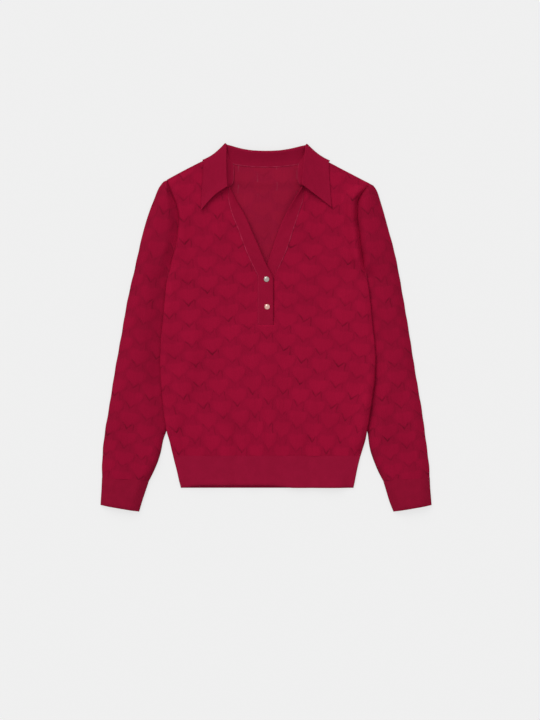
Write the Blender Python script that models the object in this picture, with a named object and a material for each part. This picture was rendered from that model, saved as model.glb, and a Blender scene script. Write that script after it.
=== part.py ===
"""V-neck sweater with a soft collar and a two-button placket, laid flat face up.

The garment lies on z = 0 with its collar towards +Y.  Every cloth piece is a thin wall
made from rows of points on its middle surface: the back on the surface underneath, the
front above it, and the sleeves folded down with their underarm side tucked beneath the
body.  Sizes are in millimetres until a mesh is made.  Left and right are as seen from
above.
"""
from collections import namedtuple
from math import cos, hypot, pi, sin, sqrt

import bmesh
import bpy

MM = 0.001
GAP = 0.3                 # clearance between neighbouring pieces
KNIT_WALL = 1.2           # patterned knit of the front, back and sleeves
BAND_WALL = 1.6           # plain double knit of the hem, cuffs and placket
COLLAR_WALL = 1.2

# Heights of the middle of each layer above the surface
BACK_Z = KNIT_WALL / 2
FRONT_Z = 3.9
FRONT_HEM_Z = 3.2
BACK_OVER_SLEEVE_Z = 5.5
FRONT_OVER_SLEEVE_Z = 7.2
BACK_OVER_COLLAR_Z = 2.3
SEAM_STEP = KNIT_WALL + GAP

# Lengths along the garment, from the middle of the part
HEM_BOTTOM_Y = -302.0
HEM_SEAM_Y = -242.0
CROTCH_Y = -197.0         # where the sleeve comes out from under the body
UNDERARM_Y = 126.0
LIFTED_Y = 96.0           # below this the body lies on the tucked sleeve
PLACKET_BOTTOM_Y = 6.4
V_POINT_Y = 98.0          # where the placket opens into the V
PLACKET_HALF = 14.6

EdgeRow = namedtuple("EdgeRow", "y half tuck")
# half: half width of the body; tuck: how far the sleeve's underarm seam lies inside it
BODY_EDGE = [
    EdgeRow(-302.0, 163.9, -64.0),
    EdgeRow(-288.0, 167.0, -56.5),
    EdgeRow(-265.0, 172.1, -40.0),
    EdgeRow(-242.0, 177.2, -27.0),
    EdgeRow(-216.0, 184.7, -12.5),
    EdgeRow(-197.0, 189.5, -1.5),
    EdgeRow(-167.0, 194.6, 13.0),
    EdgeRow(-132.0, 199.1, 28.0),
    EdgeRow(-95.0, 202.4, 39.0),
    EdgeRow(-56.0, 204.4, 46.0),
    EdgeRow(-20.0, 203.2, 49.0),
    EdgeRow(14.0, 200.0, 47.0),
    EdgeRow(48.0, 195.8, 38.0),
    EdgeRow(78.0, 191.9, 16.0),
    EdgeRow(96.0, 189.0, -1.0),
    EdgeRow(126.0, 183.3, 0.0),
    EdgeRow(153.0, 177.5, 0.0),
    EdgeRow(184.0, 173.4, 0.0),
    EdgeRow(212.0, 170.3, 0.0),
    EdgeRow(237.0, 173.5, 0.0),
    EdgeRow(254.0, 180.9, 0.0),
    EdgeRow(267.0, 187.5, 0.0),
    EdgeRow(279.0, 193.8, 0.0),
]

NeckRow = namedtuple("NeckRow", "y x")
NECK_EDGE = [
    NeckRow(98.0, 14.6),
    NeckRow(111.0, 20.6),
    NeckRow(125.0, 27.2),
    NeckRow(149.0, 38.0),
    NeckRow(180.0, 49.6),
    NeckRow(212.0, 61.4),
    NeckRow(240.0, 68.2),
    NeckRow(268.0, 75.0),
    NeckRow(312.0, 83.0),
    NeckRow(333.5, 84.6),
]
BAND_INNER = [
    NeckRow(6.7, -14.3),
    NeckRow(90.0, -14.3),
    NeckRow(98.0, -12.5),
    NeckRow(111.0, -5.5),
    NeckRow(125.0, 1.0),
    NeckRow(149.0, 11.3),
    NeckRow(180.0, 23.0),
    NeckRow(212.0, 37.0),
    NeckRow(240.0, 52.5),
    NeckRow(267.0, 68.6),
]
BACK_NECK = [
    NeckRow(333.5, 84.6),
    NeckRow(319.0, 71.0),
    NeckRow(312.5, 60.0),
    NeckRow(309.5, 43.0),
    NeckRow(307.6, 22.0),
    NeckRow(306.9, 0.0),
]

PanelRow = namedtuple("PanelRow", "edge_y neck_y centre_y")
# neck_y: where the row meets the front's neck edge, or the back's shoulder point
FRONT_ROWS = [
    PanelRow(-242.0, -242.0, None),
    PanelRow(-216.0, -216.0, None),
    PanelRow(-197.0, -197.0, None),
    PanelRow(-167.0, -167.0, None),
    PanelRow(-132.0, -132.0, None),
    PanelRow(-95.0, -95.0, None),
    PanelRow(-56.0, -56.0, None),
    PanelRow(-20.0, -20.0, None),
    PanelRow(14.0, 6.4, None),
    PanelRow(48.0, 45.0, None),
    PanelRow(78.0, 78.0, None),
    PanelRow(96.0, 98.0, None),
    PanelRow(110.0, 111.0, None),
    PanelRow(126.0, 125.0, None),
    PanelRow(153.0, 149.0, None),
    PanelRow(184.0, 180.0, None),
    PanelRow(212.0, 212.0, None),
    PanelRow(237.0, 240.0, None),
    PanelRow(254.0, 268.0, None),
    PanelRow(267.0, 312.0, None),
    PanelRow(279.0, 333.5, None),
]
BACK_ROWS = [
    PanelRow(-242.0, -242.0, -242.0),
    PanelRow(-216.0, -216.0, -216.0),
    PanelRow(-197.0, -197.0, -197.0),
    PanelRow(-167.0, -167.0, -167.0),
    PanelRow(-132.0, -132.0, -132.0),
    PanelRow(-95.0, -95.0, -95.0),
    PanelRow(-56.0, -56.0, -56.0),
    PanelRow(-20.0, -20.0, -20.0),
    PanelRow(14.0, 14.0, 14.0),
    PanelRow(48.0, 48.0, 48.0),
    PanelRow(78.0, 78.0, 78.0),
    PanelRow(96.0, 96.0, 96.0),
    PanelRow(110.0, 110.0, 110.0),
    PanelRow(126.0, 126.0, 126.0),
    PanelRow(153.0, 155.0, 155.0),
    PanelRow(184.0, 188.0, 187.0),
    PanelRow(212.0, 220.0, 215.0),
    PanelRow(237.0, 250.0, 238.0),
    PanelRow(254.0, 276.0, 258.0),
    PanelRow(267.0, 304.0, 275.0),
    PanelRow(279.0, 333.5, 306.9),
]

SleeveRow = namedtuple("SleeveRow", "outer_x outer_y inner_y")
SLEEVE_ROWS = [
    SleeveRow(199.6, 274.6, 278.6),
    SleeveRow(205.6, 266.3, 267.0),
    SleeveRow(210.6, 256.0, 254.0),
    SleeveRow(216.4, 239.0, 237.0),
    SleeveRow(224.6, 214.0, 212.0),
    SleeveRow(232.6, 186.0, 184.0),
    SleeveRow(240.6, 154.0, 153.0),
    SleeveRow(247.0, 126.0, 126.0),
    SleeveRow(253.6, 95.0, 96.0),
    SleeveRow(257.2, 76.0, 78.0),
    SleeveRow(262.4, 48.0, 48.0),
    SleeveRow(268.8, 14.0, 14.0),
    SleeveRow(275.0, -22.0, -20.0),
    SleeveRow(280.8, -58.0, -56.0),
    SleeveRow(287.0, -96.0, -95.0),
    SleeveRow(293.2, -132.0, -132.0),
    SleeveRow(299.0, -167.0, -167.0),
    SleeveRow(303.6, -197.0, -197.0),
    SleeveRow(306.4, -216.0, -216.0),
    SleeveRow(308.6, -241.0, -242.0),
    SleeveRow(310.0, -264.0, -265.0),
    SleeveRow(310.7, -284.0, -288.0),
]
CuffRow = namedtuple("CuffRow", "outer_x outer_y inner_x inner_y")
CUFF_ROWS = [
    CuffRow(310.7, -284.4, 223.5, -288.4),
    CuffRow(311.8, -302.0, 230.5, -308.5),
    CuffRow(312.8, -319.5, 236.8, -329.0),
    CuffRow(313.0, -335.4, 242.2, -348.2),
]

# The collar: a stand sewn to the neck, a roll, and a fall that turns down over it
CollarRow = namedtuple("CollarRow", "roll_x roll_y edge_x edge_y seam_x seam_y turn")
CollarFront = namedtuple("CollarFront", "roll_x roll_y edge_x edge_y seam_y")
COLLAR_FRONT_ROWS = [
    CollarFront(71.8, 269.0, 124.0, 226.0, 267.6),
    CollarFront(74.4, 286.0, 122.6, 250.0, 285.0),
    CollarFront(75.0, 305.0, 120.6, 273.0, 303.0),
    CollarFront(75.2, 325.0, 118.6, 296.0, 320.0),
]
COLLAR_SHOULDER = CollarRow(75.0, 345.5, 116.0, 317.5, 84.3, 334.8, 0.0)
COLLAR_TURNS = (90.0, 45.0, 0.0, -45.0, -90.0)
CollarBack = namedtuple("CollarBack", "roll_x roll_y edge_x seam_x seam_y")
COLLAR_BACK_ROWS = [
    CollarBack(64.0, 344.2, 97.0, 70.6, 319.8),
    CollarBack(56.0, 342.6, 85.0, 59.8, 313.3),
    CollarBack(40.0, 339.2, 62.0, 43.0, 310.3),
    CollarBack(21.0, 336.8, 33.0, 22.0, 308.4),
]
COLLAR_CENTRE = CollarBack(0.0, 336.1, 0.0, 0.0, 307.7)
COLLAR_SEAM_GAP = 0.6     # clearance from the front's neck edge to the stand's middle
COLLAR_Z = 3.7            # height of the line that the collar is folded round
SEAM_Z = 3.05
SEAM_RADIUS = 0.85
STAND_RADIUS = 0.9
ROLL_RADIUS = 1.1
FALL_RADIUS = STAND_RADIUS + 2.0 * ROLL_RADIUS
FRONT_FALL_DROP = 1.0     # the front fall sinks towards its outer edge
FALL_REACH_X = 128.0      # the fall's outer edge behind the neck is part of an ellipse
FALL_REACH_Y = 60.0
FALL_CENTRE_Y = 345.0

BUTTON_RADIUS = 5.6
BUTTON_HEIGHT = 2.2
BUTTONS = [("button_upper", 1.0, 93.3), ("button_lower", 2.2, 41.0)]
TOP_BAND_Z = 4.9
UNDER_BAND_Z = 2.9

KNIT_RED = "8F112F"
COLLAR_RED = "85112C"
CUFF_RED = "84132D"
HEM_RED = "8D1531"
BUTTON_METAL = "C9A09A"


def clear_scene():
    for old in list(bpy.data.objects):
        bpy.data.objects.remove(old)


def linear(hex_colour):
    """sRGB hex to the linear values that a shader takes."""
    channels = [int(hex_colour[i:i + 2], 16) / 255 for i in (0, 2, 4)]
    return [c / 12.92 if c <= 0.04045 else ((c + 0.055) / 1.055) ** 2.4 for c in channels]


def finish(name, hex_colour, roughness, metallic=0.0):
    material = bpy.data.materials.new(name)
    material.use_nodes = True
    shader = material.node_tree.nodes["Principled BSDF"]
    shader.inputs["Base Color"].default_value = (*linear(hex_colour), 1.0)
    shader.inputs["Roughness"].default_value = roughness
    shader.inputs["Metallic"].default_value = metallic
    return material


def ease(t):
    """0 below 0, 1 above 1, and a smooth step between."""
    t = min(max(t, 0.0), 1.0)
    return t * t * (3.0 - 2.0 * t)


def mix(a, b, t):
    return a + (b - a) * t


def read(table, column, y):
    """One named column of a table at height y, straight between its rows."""
    rows = sorted(table, key=lambda row: row.y)
    y = min(max(y, rows[0].y), rows[-1].y)
    for low, high in zip(rows, rows[1:]):
        if y <= high.y:
            share = (y - low.y) / (high.y - low.y)
            return mix(getattr(low, column), getattr(high, column), share)


def wall(name, rows, thickness, material, ring=False, hole=None):
    """A cloth wall of even thickness round the middle surface that the rows span."""
    bm = bmesh.new()
    grid = [[bm.verts.new((x * MM, y * MM, z * MM)) for x, y, z in row] for row in rows]
    columns = len(grid[0])
    for j in range(len(grid) - 1):
        for i in range(columns if ring else columns - 1):
            if hole and hole(j, i):
                continue
            after = (i + 1) % columns
            bm.faces.new((grid[j][i], grid[j][after], grid[j + 1][after], grid[j + 1][i]))
    loose = [v for v in bm.verts if not v.link_faces]
    bmesh.ops.delete(bm, geom=loose, context="VERTS")
    bmesh.ops.recalc_face_normals(bm, faces=bm.faces)
    mesh = bpy.data.meshes.new(name)
    bm.to_mesh(mesh)
    bm.free()
    mesh.shade_smooth()
    mesh.set_sharp_from_angle(angle=pi / 3)
    piece = bpy.data.objects.new(name, mesh)
    bpy.context.collection.objects.link(piece)
    mesh.materials.append(material)
    thicken = piece.modifiers.new("wall", "SOLIDIFY")
    thicken.thickness = thickness * MM
    thicken.offset = 0.0
    thicken.use_even_offset = True
    thicken.use_quality_normals = True
    return piece


def mirrored(half_row):
    """A full row from its right half, which runs from the edge to the middle."""
    left = [(-x, y, z) for x, y, z in half_row]
    right = list(reversed(half_row))
    return left + (right[1:] if abs(half_row[-1][0]) < 1e-6 else right)


# Heights of the front and the back

def over_sleeve(x, y):
    """1 where the body lies on a tucked sleeve, 0 where it lies on the surface."""
    inside = read(BODY_EDGE, "half", y) - abs(x)
    tuck = max(read(BODY_EDGE, "tuck", y), 0.0)
    across = 1.0 - ease((inside - tuck - 9.0) / 32.0)
    above = 1.0 - ease((y - LIFTED_Y) / (UNDERARM_Y - LIFTED_Y))
    below = ease((y - HEM_SEAM_Y) / (CROTCH_Y - 8.0 - HEM_SEAM_Y))
    return across * above * below


def over_collar(x, y):
    """1 where the back lies on the turned-down fall of the collar."""
    reach = hypot(x / FALL_REACH_X, (y - FALL_CENTRE_Y) / FALL_REACH_Y)
    return 1.0 - ease((reach - 1.12) / 0.25)


def back_height(x, y):
    flat = mix(BACK_Z, BACK_OVER_COLLAR_Z, over_collar(x, y))
    return mix(flat, BACK_OVER_SLEEVE_Z, over_sleeve(x, y))


def shoulder_y(x):
    """Height up the garment of the shoulder seam at x."""
    tip, neck = BODY_EDGE[-1], NECK_EDGE[-1]
    return mix(tip.y, neck.y, (tip.half - abs(x)) / (tip.half - neck.x))


def front_height(x, y):
    """The front stands off the back, and comes down to it at side and shoulder seams."""
    level = mix(FRONT_HEM_Z, FRONT_Z, ease((y - HEM_SEAM_Y) / 45.0))
    free = mix(level, FRONT_OVER_SLEEVE_Z, over_sleeve(x, y))
    seam = back_height(x, y) + SEAM_STEP
    inside = read(BODY_EDGE, "half", y) - abs(x)
    side = (1.0 - ease(inside / 12.0)) * (1.0 - ease((y - LIFTED_Y) / (UNDERARM_Y - LIFTED_Y)))
    shoulder = 1.0 - ease((shoulder_y(x) - y) / 13.0)
    return mix(free, seam, max(side, shoulder))


# The two body panels

def side_columns(edge_y):
    """Distances from the edge of the columns that carry the step over the sleeve."""
    tuck = max(read(BODY_EDGE, "tuck", edge_y), 0.0)
    return [0.0, tuck / 2.0 + 5.0, tuck + 9.0, tuck + 24.0, tuck + 42.0]


def half_row(edge_y, inner, height, extra):
    """Points from the side edge to an inner point, then through the extra ones."""
    edge_x = read(BODY_EDGE, "half", edge_y)
    width = edge_x - inner[0]
    distances = side_columns(edge_y)
    steps = 4
    last = distances[-1]
    distances += [mix(last, width, k / steps) for k in range(1, steps + 1)]
    plan = []
    for distance in distances:
        plan.append((edge_x - distance, mix(edge_y, inner[1], distance / width)))
    return [(x, y, height(x, y)) for x, y in plan + extra]


def front_panel():
    rows = []
    for row in FRONT_ROWS:
        neck_x = read(NECK_EDGE, "x", row.neck_y)
        half = half_row(row.edge_y, (neck_x, row.neck_y), front_height, [])
        rows.append(mirrored(half))
    middle = len(rows[0]) // 2 - 1
    slot_row = [row.neck_y for row in FRONT_ROWS].index(PLACKET_BOTTOM_Y)

    def neck_opening(j, i):
        return i == middle and j >= slot_row

    return wall("front_panel", rows, KNIT_WALL, KNIT, hole=neck_opening)


def back_panel():
    rows = []
    neck = BACK_NECK[0]
    for row in BACK_ROWS:
        share = (row.neck_y - row.centre_y) / (neck.y - BACK_NECK[-1].y)
        extra = []
        for point in BACK_NECK[1:]:
            drop = point.y - BACK_NECK[-1].y
            extra.append((point.x, row.centre_y + drop * share))
        half = half_row(row.edge_y, (neck.x, row.neck_y), back_height, extra)
        rows.append(mirrored(half))
    return wall("back_panel", rows, KNIT_WALL, KNIT)


# Sleeves and cuffs, each a flattened tube

FOLD_STEPS = 4
SLEEVE_FOLD = (FRONT_Z - BACK_Z) / 2.0
CUFF_BOTTOM_Z = BAND_WALL / 2.0
CUFF_TOP_Z = 3.9


def fold_arc(low_z, high_z):
    """Offsets and heights round a fold, from the top layer to the bottom one."""
    radius = (high_z - low_z) / 2.0
    arc = []
    for k in range(FOLD_STEPS + 1):
        angle = pi / 2.0 - pi * k / FOLD_STEPS
        arc.append((radius * cos(angle) - radius, low_z + radius + radius * sin(angle)))
    return arc


def sleeve_row(outer, inner, top_edge_z):
    """One row round a sleeve: top layer, outer fold, bottom layer, open at the seam."""
    length = hypot(outer[0] - inner[0], outer[1] - inner[1])
    roll_in = min(9.0, length / 4.0)
    flat_end = length - SLEEVE_FOLD
    section = [(0.0, top_edge_z), (roll_in, FRONT_Z)]
    section += [(mix(roll_in, flat_end, k / 3.0), FRONT_Z) for k in (1, 2)]
    section += [(length + offset, z) for offset, z in fold_arc(BACK_Z, FRONT_Z)]
    section += [(mix(flat_end, 0.0, k / 3.0), BACK_Z) for k in (1, 2, 3)]
    row = []
    for distance, z in section:
        share = distance / length
        row.append((mix(inner[0], outer[0], share), mix(inner[1], outer[1], share), z))
    return row


def sleeve(name, side):
    rows = []
    for row in SLEEVE_ROWS:
        edge = read(BODY_EDGE, "half", row.inner_y) - read(BODY_EDGE, "tuck", row.inner_y)
        inner = (edge + GAP + 0.2, row.inner_y)
        sewn = ease((row.inner_y - LIFTED_Y) / (UNDERARM_Y - LIFTED_Y))
        top_edge_z = mix(BACK_Z + SEAM_STEP, FRONT_Z, sewn)
        around = sleeve_row((row.outer_x, row.outer_y), inner, top_edge_z)
        rows.append([(side * x, y, z) for x, y, z in around])
    return wall(name, rows, KNIT_WALL, KNIT)


def cuff(name, side):
    rows = []
    for row in CUFF_ROWS:
        length = hypot(row.outer_x - row.inner_x, row.outer_y - row.inner_y)
        arc = fold_arc(CUFF_BOTTOM_Z, CUFF_TOP_Z)
        section = [(length + offset, z) for offset, z in arc]
        section += [(-offset, z) for offset, z in reversed(arc)]
        around = []
        for distance, z in section:
            share = distance / length
            x = mix(row.inner_x, row.outer_x, share)
            around.append((side * x, mix(row.inner_y, row.outer_y, share), z))
        rows.append(around)
    return wall(name, rows, BAND_WALL, CUFF, ring=True)


# Hem bands

def hem_row(y, height):
    half = read(BODY_EDGE, "half", y)
    shares = (1.0, 0.96, 0.85, 0.65, 0.45, 0.25, 0.0)
    return mirrored([(half * share, y, height(share)) for share in shares])


def hem_back_height(share):
    return BAND_WALL / 2.0


def hem_front_height(share):
    seam = BAND_WALL * 1.5 + GAP
    return mix(FRONT_HEM_Z, seam, ease((share - 0.85) / 0.13))


def hem_band(name, height):
    top = HEM_SEAM_Y - GAP
    rows = [hem_row(mix(top, HEM_BOTTOM_Y, k / 3.0), height) for k in range(4)]
    return wall(name, rows, BAND_WALL, HEM)


# Placket bands, which run up both sides of the V to the collar

def placket_band(name, side, lapped_z):
    """One band; in the placket it lies at its own height, in the V at the front's."""
    rows = []
    for row in BAND_INNER:
        outer = read(NECK_EDGE, "x", row.y) - GAP if row.y > V_POINT_Y else PLACKET_HALF - GAP
        apart = 1.0 - ease((row.y - 125.0) / 24.0)
        z = mix(FRONT_Z, lapped_z, apart)
        rows.append([(side * mix(outer, row.x, k / 2.0), row.y, z) for k in range(3)])
    return wall(name, rows, BAND_WALL, CUFF)


# Collar

def turned(point, across, turn, z, radius):
    """A point moved out by radius in the direction that the collar's turn gives."""
    angle = turn * pi / 180.0
    out = radius * cos(angle)
    return (point[0] + across[0] * out, point[1] + across[1] * out, z + radius * sin(angle))


def collar_section(row):
    """Points from the neck seam up the stand, round the roll and down the fall."""
    span = hypot(row.edge_x - row.roll_x, row.edge_y - row.roll_y)
    along = ((row.edge_x - row.roll_x) / span, (row.edge_y - row.roll_y) / span)
    across = (-along[1], along[0])
    seam = (row.seam_x, row.seam_y)
    start = (row.roll_x + along[0] * ROLL_RADIUS, row.roll_y + along[1] * ROLL_RADIUS)
    low = turned(seam, across, row.turn, SEAM_Z, SEAM_RADIUS)
    high = turned(start, across, row.turn, COLLAR_Z, STAND_RADIUS)
    section = [low, tuple(mix(a, b, 0.5) for a, b in zip(low, high))]
    for k in range(5):
        angle = pi * k / 4.0
        back = -ROLL_RADIUS * sin(angle)
        lift = STAND_RADIUS + ROLL_RADIUS * (1.0 - cos(angle))
        point = (start[0] + along[0] * back, start[1] + along[1] * back)
        section.append(turned(point, across, row.turn, COLLAR_Z, lift))
    drop = FRONT_FALL_DROP if row.turn == 90.0 else 0.0
    for k in range(1, 5):
        reach = mix(ROLL_RADIUS, span, k / 4.0)
        point = (row.roll_x + along[0] * reach, row.roll_y + along[1] * reach)
        x, y, z = turned(point, across, row.turn, COLLAR_Z, FALL_RADIUS)
        section.append((x, y, z - drop * ease(k / 4.0)))
    return section


def beside_front(row):
    """A row at the front, where the stand starts just inside the front's neck edge."""
    seam_x = read(NECK_EDGE, "x", row.seam_y) - COLLAR_SEAM_GAP
    return CollarRow(row.roll_x, row.roll_y, row.edge_x, row.edge_y, seam_x, row.seam_y, 90.0)


def behind_neck(row):
    """A row behind the neck, where the fall ends on the ellipse and lies underneath."""
    edge_y = FALL_CENTRE_Y - FALL_REACH_Y * sqrt(1.0 - (row.edge_x / FALL_REACH_X) ** 2)
    return CollarRow(row.roll_x, row.roll_y, row.edge_x, edge_y, row.seam_x, row.seam_y, -90.0)


def collar():
    half = [beside_front(row) for row in COLLAR_FRONT_ROWS]
    half += [COLLAR_SHOULDER._replace(turn=turn) for turn in COLLAR_TURNS]
    half += [behind_neck(row) for row in COLLAR_BACK_ROWS]
    right = [collar_section(row) for row in half]
    left = [[(-x, y, z) for x, y, z in section] for section in reversed(right)]
    centre = collar_section(behind_neck(COLLAR_CENTRE))
    return wall("collar", right + [centre] + left, COLLAR_WALL, COLLAR)


# Buttons, domed and turned

def button(name, x, y):
    bm = bmesh.new()
    radius = BUTTON_RADIUS * MM
    height = BUTTON_HEIGHT * MM
    profile = [(0.0, 0.0), (0.86, 0.0), (1.0, 0.3), (0.98, 0.55), (0.8, 0.82), (0.45, 0.96), (0.0, 1.0)]
    verts = [bm.verts.new((r * radius, 0.0, z * height)) for r, z in profile]
    edges = [bm.edges.new(pair) for pair in zip(verts, verts[1:])]
    bmesh.ops.spin(bm, geom=verts + edges, axis=(0, 0, 1), cent=(0, 0, 0), angle=2 * pi, steps=24)
    bmesh.ops.remove_doubles(bm, verts=bm.verts, dist=1e-6)
    bmesh.ops.recalc_face_normals(bm, faces=bm.faces)
    mesh = bpy.data.meshes.new(name)
    bm.to_mesh(mesh)
    bm.free()
    mesh.shade_smooth()
    mesh.set_sharp_from_angle(angle=pi / 4)
    mesh.materials.append(METAL)
    piece = bpy.data.objects.new(name, mesh)
    seat = TOP_BAND_Z + BAND_WALL / 2.0 + GAP
    piece.location = (x * MM, y * MM, seat * MM)
    bpy.context.collection.objects.link(piece)
    return piece


clear_scene()
KNIT = finish("wine red patterned knit", KNIT_RED, 0.85)
COLLAR = finish("wine red plain collar knit", COLLAR_RED, 0.8)
CUFF = finish("wine red plain band knit", CUFF_RED, 0.8)
HEM = finish("wine red plain hem knit", HEM_RED, 0.8)
METAL = finish("rose gold metal", BUTTON_METAL, 0.25, metallic=1.0)

back_panel()
front_panel()
sleeve("sleeve_left", -1.0)
sleeve("sleeve_right", 1.0)
cuff("cuff_left", -1.0)
cuff("cuff_right", 1.0)
hem_band("hem_band_back", hem_back_height)
hem_band("hem_band_front", hem_front_height)
placket_band("placket_top", -1.0, TOP_BAND_Z)
placket_band("placket_under", 1.0, UNDER_BAND_Z)
collar()
for button_name, button_x, button_y in BUTTONS:
    button(button_name, button_x, button_y)
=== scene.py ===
from collections import namedtuple

import bmesh
import bpy
import numpy as np
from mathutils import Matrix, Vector


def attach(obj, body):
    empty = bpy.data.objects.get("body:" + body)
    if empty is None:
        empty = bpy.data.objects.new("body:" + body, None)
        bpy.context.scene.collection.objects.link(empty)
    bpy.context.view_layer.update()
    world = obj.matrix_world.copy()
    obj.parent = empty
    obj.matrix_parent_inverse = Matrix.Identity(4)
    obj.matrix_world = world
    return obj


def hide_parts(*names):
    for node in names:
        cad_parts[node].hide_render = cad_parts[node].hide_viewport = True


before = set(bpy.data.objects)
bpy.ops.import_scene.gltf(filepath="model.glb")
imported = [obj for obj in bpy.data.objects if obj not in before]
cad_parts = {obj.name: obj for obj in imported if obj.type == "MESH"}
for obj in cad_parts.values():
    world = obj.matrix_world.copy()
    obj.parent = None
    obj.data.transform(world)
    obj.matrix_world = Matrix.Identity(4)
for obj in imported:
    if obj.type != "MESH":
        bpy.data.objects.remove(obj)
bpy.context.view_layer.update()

# Back panel: one piece of fine wine-red knit, cut to shape, that lies on the table with its
# right side down.  Its inside shows through the V.  Its sides rise over the sleeves that are
# folded beneath it, and its neck rises over the collar.  Sizes are in millimetres.
MM = 0.001
KNIT_WALL = 1.2
BACK_Z = 0.6
BACK_OVER_SLEEVE_Z = 5.5
BACK_OVER_COLLAR_Z = 2.3
HEM_SEAM_Y = -242.0
UNDERARM_Y, UNDERARM_FADE = 96.0, 30.0     # the sleeves are sewn to the body from here up
SHOULDER_NECK_X, SHOULDER_NECK_Y = 84.6, 333.5
LEFT_TIP_X, LEFT_TIP_Y = 188.1, 282.2      # where each armhole meets the shoulder
RIGHT_TIP_X, RIGHT_TIP_Y = 199.0, 274.6
LEFT_SHOULDER_BOW = 8.0
SLEEVE_STEP, SLEEVE_SLOPE = 9.0, 32.0      # from the tucked sleeve's edge down to the table
HEM_SLOPE = 37.0
# The collar's part beneath the back: the middle, half width and half height of an oval
COLLAR_OVAL_Y, COLLAR_OVAL_WIDE, COLLAR_OVAL_HIGH = 345.0, 128.0, 60.0
BACK_MESH_COLUMNS, BACK_MESH_ROWS = 132, 200


def table(columns, rows):
    """Rows of numbers with named columns."""
    row_type = namedtuple("Row", columns)
    return [row_type(*row) for row in rows]


# left, right: the body's half widths; tuck: how far the sleeve's underarm seam lies inside
BODY_SIDES = table("y left right tuck", [
    (-302, 161.6, 166.1, -64),
    (-288, 165.3, 169.1, -56.5),
    (-269, 169.6, 172.9, -43),
    (-250, 174.6, 177.4, -31),
    (-230, 179.2, 183, -20),
    (-212, 183.3, 188, -10.5),
    (-197, 187.8, 191, -1.5),
    (-167, 192.9, 196.3, 13),
    (-132, 196.8, 201.4, 28),
    (-94, 199.5, 206.4, 39),
    (-55, 200.8, 207.8, 46),
    (-25, 199.5, 205.6, 49),
    (14, 195.5, 201.4, 47),
    (48.5, 192.4, 198.2, 38),
    (78, 189.5, 194.3, 16),
    (96, 186.5, 191.6, 8),
    (111, 183.2, 189.2, 4),
    (136, 177.3, 185, 0),
    (153, 172.5, 182, 0),
    (184, 167.6, 178.4, 0),
    (212, 165.7, 174.8, 0),
    (237, 171, 175.4, 0),
    (254, 178.4, 182.4, 0),
    (268, 183.6, 194, 0),
    (284, 188.6, 202, 0),
])
# Where a row of the panels' mesh meets the neck, and where it meets each side
PANEL_ROWS = table("neck left right", [
    (-242, -242, -242),
    (-100, -100, -100),
    (6.4, 8, 8),
    (98, 97, 97),
    (180, 182, 182),
    (240, 236, 234),
    (290, 262, 256),
    (333.5, 282.2, 274.6),
])
BACK_NECK = table("x y", [
    (0, 306.9),
    (22, 307.6),
    (43, 309.5),
    (60, 312),
    (73, 315.5),
    (84.6, 333.5),
])


def ease(t):
    """0 below 0, 1 above 1, and a smooth step between."""
    t = np.clip(t, 0.0, 1.0)
    return t * t * (3.0 - 2.0 * t)


def fade(t):
    return 1.0 - ease(t)


def bell(t):
    """1 at 0, and less to both sides."""
    return np.exp(-(t ** 2))


def mix(a, b, t):
    return a + (b - a) * t


def follow(rows, key, column, places):
    """One column of a table as a smooth curve over another column, with no overshoot."""
    rows = sorted(rows, key=lambda row: getattr(row, key))
    knots = np.array([getattr(row, key) for row in rows])
    values = np.array([getattr(row, column) for row in rows])
    steps = np.diff(values) / np.diff(knots)
    before, after = steps[:-1], steps[1:]
    total = np.where(before * after > 0.0, before + after, 1.0)
    inner = np.where(before * after > 0.0, 2.0 * before * after / total, 0.0)
    slopes = np.concatenate([steps[:1], inner, steps[-1:]])
    places = np.clip(places, knots[0], knots[-1])
    k = np.clip(np.searchsorted(knots, places, side="right") - 1, 0, len(knots) - 2)
    span = knots[k + 1] - knots[k]
    t = (places - knots[k]) / span
    out = t * (1.0 - t) ** 2 * slopes[k] - t * t * (1.0 - t) * slopes[k + 1]
    return mix(values[k], values[k + 1], ease(t)) + span * out


def sided(rows, key, x, places):
    """The left or the right column of a table, for the side that x is on."""
    return np.where(x < 0.0, follow(rows, key, "left", places), follow(rows, key, "right", places))


def body_side(x, y):
    """Half width of the body at height y."""
    return sided(BODY_SIDES, "y", x, y)


def over_sleeve(x, y):
    """1 where the body lies on a folded sleeve, 0 where it lies on the table."""
    inside = body_side(x, y) - np.abs(x)
    tuck = np.maximum(follow(BODY_SIDES, "y", "tuck", y), 0.0)
    across = fade((inside - tuck - SLEEVE_STEP) / SLEEVE_SLOPE)
    return across * fade((y - UNDERARM_Y) / UNDERARM_FADE) * ease((y - HEM_SEAM_Y) / HEM_SLOPE)


def back_height(x, y):
    reach = np.hypot(x / COLLAR_OVAL_WIDE, (y - COLLAR_OVAL_Y) / COLLAR_OVAL_HIGH)
    over_collar = fade((reach - 1.12) / 0.25)
    return mix(mix(BACK_Z, BACK_OVER_COLLAR_Z, over_collar), BACK_OVER_SLEEVE_Z, over_sleeve(x, y))


# One repeat of the knit's stars, charted: lines of tighter stitches between puffed
# stars.  The V's notch is at 0, 0, and every second column is half a repeat lower.
# x, y: start, to_x, to_y: end, in mm, y down; depth, to_depth: 1 is the deepest line
REPEAT_WIDE = 33.0
REPEAT_HIGH = 40.0
CELL_TOP = 0.595                           # share of a repeat that lies above the notch
STAR_LINES = table("x y to_x to_y depth to_depth", [
    (-9.8, -12.6, -0.8, -0.6, 0.6, 1),
    (-0.8, -0.6, 8.2, -10.6, 1, 0.5),
    (10.4, -8.5, 10.6, 6.2, 0.6, 0.5),
    (-12.4, -9.5, -12.8, 3, 0.2, 0.3),
    (10.6, 6.2, 18, 5.4, 0.35, 0.1),
    (-12.8, 3, -19.5, 7, 0.3, 0.1),
])
UPRIGHT_LINE = 2
RELIEF_LINES = 4                           # only these sink into the cloth
LINE_RELIEF, LINE_REACH = 0.16, 2.8
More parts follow.
